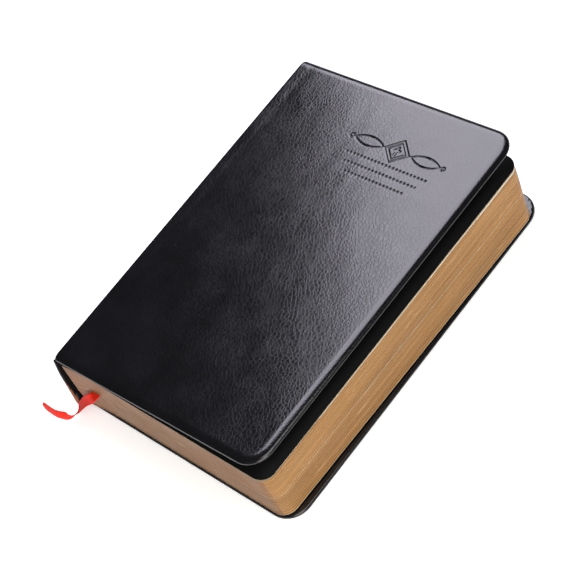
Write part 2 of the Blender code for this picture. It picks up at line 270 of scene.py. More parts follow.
# %% The grain group
def grain_group():
    outputs = ("Height", "Crease", "Tone")
    group, given, result = start_group("pebble grain", {"Pebbles per Metre": 500.0, "Bend": 0.0012}, outputs)
    spot = add_node(group, "ShaderNodeTexCoord").outputs["Object"]
    wander = add_node(group, "ShaderNodeTexNoise", {"Vector": spot, "Scale": 260.0, "Detail": 2.0})
    centred = add_node(group, "ShaderNodeVectorMath", {0: wander.outputs["Color"], 1: (0.5, 0.5, 0.5)})
    centred.operation = "SUBTRACT"
    bent = add_node(group, "ShaderNodeVectorMath", {0: centred.outputs[0]}, operation="SCALE")
    group.links.new(given.outputs["Bend"], bent.inputs["Scale"])
    moved = add_node(group, "ShaderNodeVectorMath", {0: spot, 1: bent.outputs[0]}, operation="ADD")
    cells = add_node(group, "ShaderNodeTexVoronoi", {"Vector": moved.outputs[0]}, feature="DISTANCE_TO_EDGE")
    group.links.new(given.outputs["Pebbles per Metre"], cells.inputs["Scale"])
    pebble = remap(group, cells.outputs["Distance"], 0.0, 0.28, 0.0, 1.0)
    round_pebble = maths(group, "POWER", pebble, 0.6)
    pores = add_node(group, "ShaderNodeTexNoise", {"Vector": spot, "Scale": 2600.0, "Detail": 2.0})
    height = maths(group, "ADD", round_pebble, maths(group, "MULTIPLY", pores.outputs["Fac"], 0.12))
    patches = add_node(group, "ShaderNodeTexNoise", {"Vector": spot, "Scale": 55.0, "Detail": 3.0})
    group.links.new(height, result.inputs["Height"])
    group.links.new(maths(group, "SUBTRACT", 1.0, pebble, clamp=True), result.inputs["Crease"])
    group.links.new(patches.outputs["Fac"], result.inputs["Tone"])
    return group


pebble_grain = grain_group()
print("group:", pebble_grain.name)

# %% [markdown]
# The edge of a book is hundreds of leaf edges. Gilding fills them with gold, but the lines between the
# leaves still show as fine streaks that run along the edge, some lighter and some darker. A noise that is
# stretched far along the book and squeezed in its thickness gives those streaks on the tail, the head and
# the fore-edge alike.

# %% The leaf streak group
def leaf_group():
    group, given, result = start_group("leaf streaks", {"Worn": 0.5}, ("Streak", "Line", "Patch", "Scratch"))

    def stretched_noise(scale, detail):
        settings = {"Vector": place_of(group, scale), "Scale": 1.0, "Detail": detail}
        return add_node(group, "ShaderNodeTexNoise", settings).outputs["Fac"]

    kinds = ("Streak", (9, 9, 620), 4), ("Line", (24, 24, 3600), 3), ("Patch", (38, 38, 60), 4)
    for label, scale, detail in kinds:
        marks = remap(group, stretched_noise(scale, detail), 0.3, 0.7, 0, 1)
        group.links.new(marks, result.inputs[label])
    edge = maths(group, "SUBTRACT", 0.74, maths(group, "MULTIPLY", given.outputs["Worn"], 0.16))
    past_edge = maths(group, "SUBTRACT", stretched_noise((60, 60, 900), 6), edge, clamp=True)
    scratch = maths(group, "MINIMUM", maths(group, "MULTIPLY", past_edge, 9.0), 1.0)
    group.links.new(scratch, result.inputs["Scratch"])
    return group


leaf_streaks = leaf_group()
print("group:", leaf_streaks.name)

# %% [markdown]
# Now the finishes. The leather is nearly black and satin: rougher in its creases, smoother on its pebbles.

# %% Leather
def leather_finish(name, pebbles, depth):
    made, tree, shader = start_material(name, Specular_IOR_Level=0.5)
    grain = use_group(tree, pebble_grain, Pebbles_per_Metre=pebbles)
    colour = shade(tree, grain.outputs["Tone"], (0.003, 0.003, 0.004), (0.006, 0.006, 0.0078))
    tree.links.new(colour, shader.inputs["Base Color"])
    crease = maths(tree, "MULTIPLY", grain.outputs["Crease"], 0.05)
    patchy = remap(tree, grain.outputs["Tone"], 0.3, 0.7, 0.10, 0.15)
    tree.links.new(maths(tree, "ADD", crease, patchy), shader.inputs["Roughness"])
    add_bump(tree, shader, grain.outputs["Height"], depth, 0.8)
    return made


leather = leather_finish("black_leather", 520.0, 0.000022)
print("finish:", leather.name)

# %% [markdown]
# Dull gilt is foil worn down to the paper: mostly gold, browner where it is thin, with pale scuffs. It is
# only partly metallic here, because it scatters the light that falls on it as the paper under it does. The
# tail and the head get a darker copy, which is painted shade: less lamp light falls on them than on the fore-edge.

# %% Gilt and paper
def gilt_finish(name, thin, full):
    made, tree, shader = start_material(name, Specular_IOR_Level=0.2)
    marks = use_group(tree, leaf_streaks, Worn=0.55)
    base = shade(tree, marks.outputs["Streak"], thin, full)
    line, patch, scratch = (marks.outputs[label] for label in ("Line", "Patch", "Scratch"))
    lined = tint(tree, maths(tree, "MULTIPLY", line, 0.4), base, (0.62, 0.55, 0.5), "MULTIPLY")
    patched = tint(tree, maths(tree, "MULTIPLY", patch, 0.3), lined, (0.8, 0.68, 0.6), "MULTIPLY")
    scuffed = tint(tree, maths(tree, "MULTIPLY", scratch, 0.6), patched, (0.70, 0.52, 0.33))
    tree.links.new(scuffed, shader.inputs["Base Color"])
    tree.links.new(remap(tree, marks.outputs["Streak"], 0, 1, 0.25, 0.45), shader.inputs["Metallic"])
    tree.links.new(remap(tree, patch, 0, 1, 0.38, 0.52), shader.inputs["Roughness"])
    add_bump(tree, shader, maths(tree, "ADD", marks.outputs["Streak"], line), 0.00004, 0.5)
    return made


def paper_finish(name, dark, light, roughness, fibre_scale, depth, gloss=0.3):
    made, tree, shader = start_material(name, Specular_IOR_Level=gloss)
    spot = place_of(tree)
    fibre = add_node(tree, "ShaderNodeTexNoise", {"Vector": spot, "Scale": fibre_scale, "Detail": 5.0})
    cloud = add_node(tree, "ShaderNodeTexNoise", {"Vector": spot, "Scale": 60.0, "Detail": 2.0})
    tree.links.new(shade(tree, cloud.outputs["Fac"], dark, light), shader.inputs["Base Color"])
    rough = remap(tree, fibre.outputs["Fac"], 0.3, 0.7, roughness - 0.05, roughness + 0.05)
    tree.links.new(rough, shader.inputs["Roughness"])
    add_bump(tree, shader, fibre.outputs["Fac"], depth, 0.4)
    return made


gilt = gilt_finish("gilt_edge", (0.26, 0.134, 0.044), (0.45, 0.238, 0.078))
# A darker copy of the gilt for the tail and the head: painted shade, where less lamp light falls than on the
# fore-edge.
shaded_gilt = gilt_finish("shaded_gilt", (0.20, 0.098, 0.04), (0.33, 0.168, 0.068))
cream_paper = paper_finish("cream_paper", (0.62, 0.52, 0.38), (0.76, 0.67, 0.52), 0.75, 900.0, 0.00002)
paper_black, paper_grey = (0.0025, 0.0025, 0.003), (0.0045, 0.0045, 0.005)
black_paper = paper_finish("black_endpaper", paper_black, paper_grey, 0.7, 1400.0, 0.00002, 0.12)
greyboard = paper_finish("greyboard", (0.20, 0.18, 0.15), (0.32, 0.29, 0.24), 0.85, 700.0, 0.00005)
card_dark, card_light = (0.006, 0.005, 0.005), (0.012, 0.01, 0.01)
lining_card = paper_finish("lining_card", card_dark, card_light, 0.8, 900.0, 0.00003, 0.1)
# The flesh side's brown mixed with painted warm light: it is used only where the spine leather's inner face
# catches light at the tail.
lit_flesh_side = paper_finish("leather_lit_flesh_side", (0.24, 0.085, 0.04), (0.42, 0.16, 0.08), 0.8, 1300.0, 0.00006)
print("finishes:", gilt.name, cream_paper.name, black_paper.name)

# %% [markdown]
# Three textiles are left. The mull is an open weave, the thread is plied and waxed, and the ribbon is a
# satin whose fine ribs run across it. A wave texture gives ribs; two crossed ones give a weave.

# %% Textiles
def woven_finish(name, dark, light, threads_per_metre, roughness, directions, depth, **constants):
    made, tree, shader = start_material(name, **constants)
    ribs = None
    for direction in directions:
        wave = add_node(tree, "ShaderNodeTexWave", {"Vector": place_of(tree)}, bands_direction=direction)
        wave.inputs["Scale"].default_value = threads_per_metre / 6.4
        wave.inputs["Distortion"].default_value = 0.4
        ribs = wave.outputs["Fac"] if ribs is None else maths(tree, "MAXIMUM", ribs, wave.outputs["Fac"])
    tree.links.new(shade(tree, ribs, dark, light), shader.inputs["Base Color"])
    tree.links.new(remap(tree, ribs, 0, 1, roughness + 0.1, roughness), shader.inputs["Roughness"])
    add_bump(tree, shader, ribs, depth, 0.5)
    return made


mull_cloth = woven_finish("mull_cloth", (0.5, 0.46, 0.38), (0.8, 0.77, 0.7), 900, 0.85, "YZ", 0.0001)
linen_thread = woven_finish("linen_thread", (0.6, 0.56, 0.48), (0.85, 0.82, 0.74), 2500, 0.6, "Y", 0.00005)
ribbon_red, ribbon_light = (0.86, 0.016, 0.008), (1.0, 0.045, 0.018)
dull = {"Specular_IOR_Level": 0.15}
red_satin = woven_finish("red_satin", ribbon_red, ribbon_light, 2200, 0.55, "X", 0.00003, **dull)
print("finishes:", mull_cloth.name, linen_thread.name, red_satin.name)

# %% [markdown]
# Geometry starts with two helpers: one makes a smooth-shaded piece from points and faces and moves it from
# the book's corner to the frame's origin, and one turns what was drawn shut to the cover's ajar place.

# %% Piece helpers
def new_piece(name, points, faces, finishes, finish_of_face=None):
    mesh = bpy.data.meshes.new(name)
    mesh.from_pydata([Vector(point) + CORNER_PLACE for point in points], [], faces)
    for finish in finishes:
        mesh.materials.append(finish)
    if finish_of_face:
        mesh.polygons.foreach_set("material_index", finish_of_face)
    mesh.shade_smooth()
    mesh.set_sharp_from_angle(angle=math.radians(40))
    piece = bpy.data.objects.new(name, mesh)
    bpy.context.scene.collection.objects.link(piece)
    return piece


def turn_about(piece, axis_point, angle):
    """Turns a piece's mesh about a line along the book's height."""
    there = Matrix.Translation(axis_point)
    piece.data.transform(there @ Matrix.Rotation(-angle, 4, "Y") @ there.inverted())


def apply_modifiers(piece):
    """Keeps what the modifiers make as the piece's own mesh."""
    evaluated = piece.evaluated_get(bpy.context.evaluated_depsgraph_get())
    finished = bpy.data.meshes.new_from_object(evaluated)
    old = piece.data
    piece.modifiers.clear()
    piece.data = finished
    bpy.data.meshes.remove(old)
    finished.name = piece.name


def smooth_step(value, low, high):
    t = min(max((value - low) / (high - low), 0), 1)
    return t * t * (3 - 2 * t)


def between(value, table):
    """Reads a value off a short table of (place, value) pairs."""
    return float(np.interp(value, [row[0] for row in table], [row[1] for row in table]))


# %% [markdown]
# A soft book slumps when it lies down. At the tail of the spine its layers slide out past each other, the
# lower ones furthest, and the leather there leans out with them. One function gives that slide, and every
# piece that reaches the corner uses it, so they stay together.

# %% The slump at the tail of the spine
LEATHER_SLIDE = ((0, 4.6), (5, 4.4), (12, 3.7), (20, 3.0), (30, 2.2), (40, 0.7), (43, 0.0))
PAGE_SLIDE = ((0, 2.4), (17, 2.7), (38, 1.4), (43, 1.0))
SLIDE_FADE = 55 * MM


def slump(point, slide, reach):
    """Slides a point near the tail of the spine outwards. reach is how far along the tail edge it goes."""
    x, y, z = point
    near_tail = 1 - smooth_step(y, 0, SLIDE_FADE)
    near_spine = math.exp(-((max(x, 0) / reach) ** 2))
    return Vector((x, y - between(z / MM, slide) * MM * near_tail * near_spine, z))


print("the lowest leather slides out", LEATHER_SLIDE[0][1], "mm")

# %% [markdown]
# Each cover is leather wrapped over thin board: a flat grid for the skin, pulled round at the two
# fore-edge corners, a round edge down to the turn-in, and the turn-in underneath. A square corner of the
# grid becomes a round one by the square-to-disc mapping, which leaves the grid's lines smooth. The skin's
# middle waves by less than a tenth of a millimetre, as leather over board does, which breaks up the light.
#
# The stamp is pressed into the skin where the real ones have a title. It is a plain ornament here: a
# lozenge with a small cross, two leaf shapes beside it, and three rows of dots below. It is made of real
# dents, so the grid is fine there. A distance function says how deep each point lies.

# %% The stamped ornament
STAMP_MIDDLE = Vector((93, 178)) * MM
STAMP_HALF = Vector((32, 8)) * MM
GROOVE = 0.5 * MM
GROOVE_DEPTH = 0.3 * MM
DOT_ROWS = ((-9.5, 54), (-15.0, 48), (-20.5, 42))
DOT_PITCH = 2.4 * MM
DOT_RADIUS = 0.62 * MM


def leaf_distance(x, y, half_length, half_width):
    """Distance to the outline of a leaf that is pointed at both ends."""
    radius = (half_length**2 + half_width**2) / (2 * half_width)
    middle = radius - half_width
    return math.hypot(x, abs(y) + middle) - radius


def lozenge_distance(x, y, half_width, half_height):
    slope = math.hypot(half_width, half_height)
    return (abs(x) * half_height + abs(y) * half_width - half_width * half_height) / slope


def bar_distance(x, y, half_length, half_width):
    return max(abs(x) - half_length, abs(y) - half_width)


def stamp_depth(x, y):
    """How far the stamp presses the skin in at a point of the cover."""
    u, v = x - STAMP_MIDDLE.x, y - STAMP_MIDDLE.y
    lines = [abs(lozenge_distance(u, v, 8 * MM, 7.2 * MM)), abs(lozenge_distance(u, v, 5.8 * MM, 5.2 * MM))]
    cross = min(bar_distance(u, v, 0.3 * MM, 2.6 * MM), bar_distance(u, v - 0.6 * MM, 1.7 * MM, 0.3 * MM))
    lines.append(max(cross, 0))
    for side in (-1, 1):
        leaf = leaf_distance(u - side * 19 * MM, v, 9.5 * MM, 2.9 * MM)
        lines.append(abs(leaf))
        lines.append(abs(math.hypot(u - side * 30.5 * MM, v) - 1.1 * MM))
    depth = 1 - smooth_step(min(lines), GROOVE * 0.35, GROOVE * 1.1)
    for offset, width in DOT_ROWS:
        if abs(v - offset * MM) < DOT_PITCH / 2 and abs(u) < width * MM / 2:
            dot = math.hypot((u / DOT_PITCH - round(u / DOT_PITCH)) * DOT_PITCH, v - offset * MM)
            depth = max(depth, 1 - smooth_step(dot, DOT_RADIUS * 0.55, DOT_RADIUS * 1.35))
    return depth * GROOVE_DEPTH


print("stamp", round(2 * STAMP_HALF.x / MM), "mm wide")

# %% The cover's skin
ROLL = COVER / 2
SPINE_ROLL = 0.7 * COVER
ROLL_STEPS = 12
SKIN = 0.5 * MM
PLEATS = 11
WAVE_HEIGHT = 0.055 * MM
WAVES = ((45, 0.3, 1), (110, 1.7, 0.6), (260, 2.9, 0.12))
HINGE_DIP = 0.07 * MM
FINE, COARSE, STAMPED = 0.6 * MM, 2.5 * MM, 0.36 * MM
FINE_MARGIN = 7 * MM


def grid_lines(*stops):
    """Places along one side. The stops are a place, the step from there, the next place, and so on."""
    lines = [stops[0]]
    for low, step, high in zip(stops[::2], stops[1::2], stops[2::2]):
        lines += list(np.linspace(low, high, round((high - low) / step) + 1)[1:])
    return lines


def round_corner(x, y):
    """Pulls a point of the square grid in to the round fore-edge corners, and gives its way out."""
    inner = COVER_CORNER - ROLL
    u = (x - (WIDTH - COVER_CORNER)) / inner
    for corner_y, sign in CORNERS:
        v = (y - corner_y) * sign / inner
        if u > 0 and v > 0:
            du, dv = u * math.sqrt(1 - v * v / 2), v * math.sqrt(1 - u * u / 2)
            way = Vector((du, dv * sign))
            return WIDTH - COVER_CORNER + du * inner, corner_y + dv * sign * inner, way
    return x, y, None


def edge_inset(x, y):
    """How far a point is inside the tail, the head and the fore-edge."""
    for corner_y, sign in CORNERS:
        u, v = x - (WIDTH - COVER_CORNER), (y - corner_y) * sign
        if u > 0 and v > 0:
            return COVER_CORNER - math.hypot(u, v)
    return min(y, WIDTH - x, HEIGHT - y)


def edge_drop(inset, edge_round, lip):
    """How far the skin has curved down from its flat: a quarter of an ellipse, down to the lip."""
    s = 1 - min(max(inset / edge_round, 0), 1)
    return (COVER - lip) * (1 - math.sqrt(1 - s * s))


def skin_height(x, y, edge_round, lip, stamped):
    """The skin's height: rounded at its edges, waved in the middle, dented by the stamp."""
    inset = edge_inset(x, y)
    wave = sum(share * noise.noise(Vector((x, y, layer)) * pitch) for pitch, layer, share in WAVES)
    z = COVER + WAVE_HEIGHT * wave * smooth_step(min(inset, x), ROLL, 12 * MM)
    z -= edge_drop(inset, edge_round, lip)
    z -= HINGE_DIP * math.exp(-(((x - 9 * MM) / (1.6 * MM)) ** 2))
    if x < SPINE_ROLL:
        z -= (SPINE_ROLL - math.sqrt(SPINE_ROLL**2 - (SPINE_ROLL - x) ** 2)) * z / COVER
    return z - (stamp_depth(x, y) if stamped else 0)


def edge_profile(step, at_spine, edge_round, lip):
    """How far out and how high the leather is at a step of its way round the edge.

    It goes on with the skin's curve down to the lip and then turns under in a quarter circle. At the
    spine it is a quarter of a wider circle, where the leather bends down into the spine.
    """
    share = 2 * step / ROLL_STEPS
    if at_spine:
        if share >= 1:
            return ROLL * (2 - share), 0.0
        angle = math.acos(max(1 - ROLL / SPINE_ROLL, 0)) * (1 - share)
        return ROLL - SPINE_ROLL * (1 - math.cos(angle)), SPINE_ROLL * math.sin(angle)
    if share <= 1:
        out = ROLL * math.sin(math.radians(90 * share))
        return out, COVER - edge_drop(ROLL - out, edge_round, lip)
    turn = math.radians(90 * (share - 1))
    return ROLL - lip + lip * math.cos(turn), lip - lip * math.sin(turn)


def pleat_height(x, y):
    """The turn-in is gathered into pleats round each fore-edge corner."""
    for corner_y, sign in CORNERS:
        u, v = x - (WIDTH - COVER_CORNER), (y - corner_y) * sign
        if u > 0 and v > 0:
            out = smooth_step(math.hypot(u, v), 2 * MM, COVER_CORNER - ROLL)
            fold = abs(math.sin(math.atan2(v, u) * PLEATS))
            return -0.22 * MM * out * (1 - fold)
    return 0.0


def skin_grid(stamped):
    """The columns and rows of the flat grid, closer together near the edges and under the stamp."""
    start = ROLL, FINE, FINE_MARGIN, COARSE
    ends = [(side - FINE_MARGIN, FINE, side - ROLL) for side in (WIDTH, HEIGHT)]
    if not stamped:
        return [grid_lines(*start, *end) for end in ends]
    left, right = STAMP_MIDDLE.x - STAMP_HALF.x - MM, STAMP_MIDDLE.x + STAMP_HALF.x + MM
    low, high = STAMP_MIDDLE.y - 22 * MM, STAMP_MIDDLE.y + STAMP_HALF.y + MM
    middles = (left, STAMPED, right, COARSE), (low, STAMPED, high, COARSE)
    return [grid_lines(*start, *middle, *end) for middle, end in zip(middles, ends)]


def cover_skin(edge_round, lip, stamped):
    """The leather of one cover, skin up, with its turn-in's face at zero height."""
    columns, rows = skin_grid(stamped)
    across, along = len(columns), len(rows)
    points, faces, top = [], [], {}
    for i, x in enumerate(columns):
        for j, y in enumerate(rows):
            px, py, way = round_corner(x, y)
            top[i, j] = len(points)
            points.append((px, py, skin_height(px, py, edge_round, lip, stamped)))
    for i in range(across - 1):
        for j in range(along - 1):
            faces.append((top[i, j], top[i + 1, j], top[i + 1, j + 1], top[i, j + 1]))
    edge = [(i, 0) for i in range(across)] + [(across - 1, j) for j in range(1, along)]
    edge += [(i, along - 1) for i in range(across - 2, -1, -1)] + [(0, j) for j in range(along - 2, 0, -1)]
    ring = [top[cell] for cell in edge]
    for step in range(1, ROLL_STEPS + 1):
        following = []
        for cell in edge:
            x, y, way = round_corner(columns[cell[0]], rows[cell[1]])
            if way is None:
                first, last = cell[0] == 0, cell[0] == across - 1
                way = Vector((last - first, (cell[1] == along - 1) - (cell[1] == 0)))
            way = way.normalized()
            out, z = edge_profile(step, cell[0] == 0, edge_round, lip)
            if cell[0] == 0:
                z -= edge_drop(y, edge_round, lip) * z / COVER
                z -= edge_drop(HEIGHT - y, edge_round, lip) * z / COVER
            following.append(len(points))
            points.append((x + way.x * out, y + way.y * out, z))
        count = len(ring)
        for k in range(count):
            faces.append((ring[k], following[k], following[(k + 1) % count], ring[(k + 1) % count]))
        ring = following
    bottom = dict(zip(edge, ring))

    def underside(cell):
        if cell not in bottom:
            x, y, way = round_corner(columns[cell[0]], rows[cell[1]])
            bottom[cell] = len(points)
            points.append((x, y, pleat_height(x, y)))
        return bottom[cell]

    for i in range(across - 1):
        for j in range(along - 1):
            x, y = (columns[i] + columns[i + 1]) / 2, (rows[j] + rows[j + 1]) / 2
            if min(WIDTH - x, y, HEIGHT - y) < TURN_IN:
                cells = (i, j), (i, j + 1), (i + 1, j + 1), (i + 1, j)
                faces.append([underside(cell) for cell in cells])
    return points, faces


PADDED_ROUND = 4.8 * MM
PADDED_LIP = 0.4 * MM
front_points, front_faces = cover_skin(PADDED_ROUND, PADDED_LIP, True)
print("front skin:", len(front_points), "points,", len(front_faces), "faces")

# %% [markdown]
# The same drawing serves both covers. The front one keeps its skin up and turns ajar about its joint. The
# back one is turned over, so its skin faces down and its pleated turn-in faces the pages. Solidify then
# gives the sheet its thickness towards the inside, where the board lies.

# %% The two covers
LEATHER_REACH = 4 * MM


def finish_cover(piece, body, node):
    shell = piece.modifiers.new("skin_thickness", "SOLIDIFY")
    shell.thickness = SKIN
    shell.offset = -1
    apply_modifiers(piece)
    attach(piece, body)
    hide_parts(node)
    print(piece.name, len(piece.data.polygons), "faces")


raised = [(x, y, z + FRONT_SKIN_Z) for x, y, z in front_points]
front_skin = new_piece("front_cover_skin", raised, front_faces, [leather])
turn_about(front_skin, FRONT_AXIS, AJAR)
finish_cover(front_skin, "front_cover", "front_cover_leather")

back_points, back_faces = cover_skin(ROLL, ROLL, False)
turned_over = [slump((x, y, COVER - z), LEATHER_SLIDE, LEATHER_REACH) for x, y, z in back_points]
back_skin = new_piece("back_cover_skin", turned_over, [face[::-1] for face in back_faces], [leather])
finish_cover(back_skin, "back_cover", "back_cover_leather")

# %% [markdown]
# The spine leather is one soft sheet from cover to cover, but it bends at four joints. Each length is a
# loop of points around the sheet's cross-section, repeated up the spine: straight along the outside, round
# the head end, back along the inside, and round the tail end.

# %% The spine leather
SPINE_LEATHER = 0.9 * MM
SPINE_BULGE = 0.35 * MM
SPINE_TOP_Z = FRONT_SKIN_Z + 0.1 * MM
END_STEPS = 6
# The wedge at the tail where the flesh side is painted as lit; above it the inner face stays black as painted
# shade.
LIT_FLESH_WIDTH = 2.2 * MM
LIT_FLESH_TOP = 24 * MM
HALF_BEND = 0.9 * MM


def sheet_loop(x, thickness, low_y, high_y):
    """Points round the cross-section of an upright sheet along the spine, with round ends."""
    radius = thickness / 2
    near_tail = np.linspace(low_y + radius, 6 * MM, 12)
    runs = [*near_tail[:-1], *np.linspace(6 * MM, high_y - radius, 64)]
    turns = [math.pi * step / END_STEPS for step in range(1, END_STEPS)]
    head = [(x + radius - radius * math.cos(turn), runs[-1] + radius * math.sin(turn)) for turn in turns]
    tail = [(x + radius + radius * math.cos(turn), runs[0] - radius * math.sin(turn)) for turn in turns]
    return [(x, y) for y in runs] + head + [(x + thickness, y) for y in runs[::-1]] + tail, len(runs)


def spine_sheet(name, x, thickness, heights, margin, slide, finish):
    """An upright sheet behind the pages' folds, which follows the slump at the tail.

    Its inner face near the tail shows the leather's brown flesh side only in a wedge, wider towards the back
    cover: painted light where that face catches warm light from the gilt, with the black leather finish above it
    as painted shade.
    """
    loop, runs = sheet_loop(x, thickness, margin, HEIGHT - margin)
    points, faces, looks = [], [], []
    for z in heights:
        bulge = SPINE_BULGE * math.sin(math.pi * min(max(z / FRONT_SKIN_Z, 0), 1))
        for px, py in loop:
            points.append(slump((px, py, z), slide, LEATHER_REACH * 2) - Vector((bulge, 0, 0)))
    count = len(loop)
    for row in range(len(heights) - 1):
        for k in range(count):
            a, b = row * count + k, row * count + (k + 1) % count
            faces.append((a, a + count, b + count, b))
            # Inner faces inside this wedge take the painted lit flesh side; the rest stay black leather as painted
            # shade.
            lit_flesh_reach = LIT_FLESH_WIDTH * (1 - heights[row] / LIT_FLESH_TOP)
            looks.append(1 if loop[k][0] > x + thickness / 2 and loop[k][1] < lit_flesh_reach else 0)
    for row, flip in ((0, 1), (len(heights) - 1, -1)):
        rim = [row * count + k for k in range(count)]
        back = 2 * runs + END_STEPS - 2
        for k in range(runs - 1):
            faces.append((rim[k], rim[k + 1], rim[back - k - 1], rim[back - k])[::flip])
        faces.append(tuple(rim[runs - 1 : runs + END_STEPS])[::flip])
        faces.append((rim[0], *rim[back:])[::flip])
    looks += [0] * (len(faces) - len(looks))
    return new_piece(name, points, faces, [finish, lit_flesh_side], looks)


def heights_between(low, high, joint_z):
    """Rows 1.2 mm apart, and closer together round the joint."""
    coarse = np.linspace(low, high, max(round((high - low) / (1.2 * MM)), 2) + 1)
    fine = np.linspace(joint_z - HALF_BEND, joint_z + HALF_BEND, 9)
    kept = [z for z in coarse if abs(z - joint_z) > 1.1 * MM]
    return sorted([*kept, *[z for z in fine if low < z < high]])


SEAMS = (COVER - 0.05 * MM, 10 * MM, 25 * MM, 34 * MM, SPINE_TOP_Z)
lengths = (
    ("spine_leather_back_joint", BACK_AXIS, "back_cover", "rear_block", "spine_leather_rear"),
    ("spine_leather_ribbon_joint", RIBBON_AXIS, "rear_block", "middle_block", "spine_leather_middle"),
    ("spine_leather_opening_joint", FRONT_OPENING, "middle_block", "front_block", None),
    ("spine_leather_front_joint", FRONT_AXIS, "front_block", "front_cover", "spine_leather_front"),
)
for (name, axis, below, above, node), low, high in zip(lengths, SEAMS, SEAMS[1:]):
    rows = [low, *[z for z in heights_between(low, high, axis.z) if low < z < high], high]
    length = spine_sheet(name, 0, SPINE_LEATHER, rows, 0, LEATHER_SLIDE, leather)
    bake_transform(length)
    if node:
        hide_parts(node)
    print(name, "rows", len(rows))

# %% [markdown]
# Behind the leather a card lining keeps the spine flat. It hardly shows: it ends a little inside the
# leather's end, in the dark of the hollow. Each part of the block carries its own length of it.

# %% The spine lining
LINING_X = 1.1 * MM
LINING = 0.35 * MM
LINING_MARGIN = 3 * MM
for part in ("rear", "middle", "front"):
    low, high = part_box(f"spine_liner_{part}")
    rows = np.linspace(low.z, high.z, 8)
    name = f"spine_lining_{part}"
    lining = spine_sheet(name, LINING_X, LINING, rows, LINING_MARGIN, PAGE_SLIDE, lining_card)
    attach(lining, f"{part}_block")
    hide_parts(f"spine_liner_{part}")
print("lining lengths: 3")

# %% [markdown]
# The page block is 18 folded sections. Each is cut from its frame solid's own box: the outline of a page,
# with round fore-edge corners, repeated up the section in rings. Each ring stands a few hundredths of a
# millimetre in or out, as trimmed leaves do, and the whole stack is a little uneven along its length. The
# sections nearly touch, so that the edge reads as one gilt face with fine lines and not as 18 slabs. A soft
# block never lies quite square either, so the lower leaves turn a little under the upper ones.

# %% The sections
PAGE_CORNER = 7.5 * MM
RINGS = 9
FILL = 0.14 * MM
SLOT_FILL = 0.26 * MM
LEAF_JITTER = 0.028 * MM
FACE_INSET, FIRST_LEAVES_OUT = 0.05 * MM, 0.25 * MM
PAGE_REACH = 13 * MM
FOLD_ROUND = 0.7 * MM
SPREAD, HEAD_SPREAD = 1.3 * MM, 0.6 * MM
TWIST = 3.4 * MM
HEAD_TRIM = 2.6 * MM
HEAD_SKEW = 3.8 * MM
HIGHLIGHT_RINGS = 5
rear_members = [name for name in frame["record"]["behaviour"]["bodies"]["rear_block"] if "section" in name]
SLOT_SECTION = len(rear_members)
SECTIONS = sum(name.startswith("section_") for name in frame["nodes"])
BLOCK_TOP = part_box(f"section_{SECTIONS:02d}")[1].z


def page_outline(x0, x1, y0, y1, corner, edge_points=26):
    """Points and outward ways round three sides of a page, from the tail of its fold to the head."""
    def round_end(middle_y, first_turn):
        for turn in np.linspace(first_turn, first_turn + 90, 9)[:-1]:
            way = math.cos(math.radians(turn)), math.sin(math.radians(turn))
            rows.append((x1 - corner + corner * way[0], middle_y + corner * way[1], *way))

    rows = [(x, y0, 0, -1) for x in np.linspace(x0, x1 - corner, edge_points)[:-1]]
    round_end(y0 + corner, -90)
    rows += [(x1, y, 1, 0) for y in np.linspace(y0 + corner, y1 - corner, 2 * edge_points)[:-1]]
    round_end(y1 - corner, 0)
    return rows + [(x, y1, 0, 1) for x in np.linspace(x1 - corner, x0, edge_points)]


def book_corner(node):
    low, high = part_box(node)
    return low - CORNER_PLACE, high - CORNER_PLACE


def twist(x, y, z):
    """Where a point of a leaf goes: the lower leaves have turned a little, out and away from the head."""
    depth = 1 - smooth_step(z, 2 * MM, BLOCK_TOP)
    spread = SPREAD + HEAD_SPREAD * y / HEIGHT
    out = (spread + TWIST * (y / HEIGHT - 0.5) * depth) * smooth_step(x, 0, WIDTH)
    near_head = smooth_step(y, 0.4 * HEIGHT, HEIGHT) * smooth_step(x, 0, 0.6 * WIDTH)
    return x + out, y - (HEAD_TRIM + HEAD_SKEW * depth) * near_head


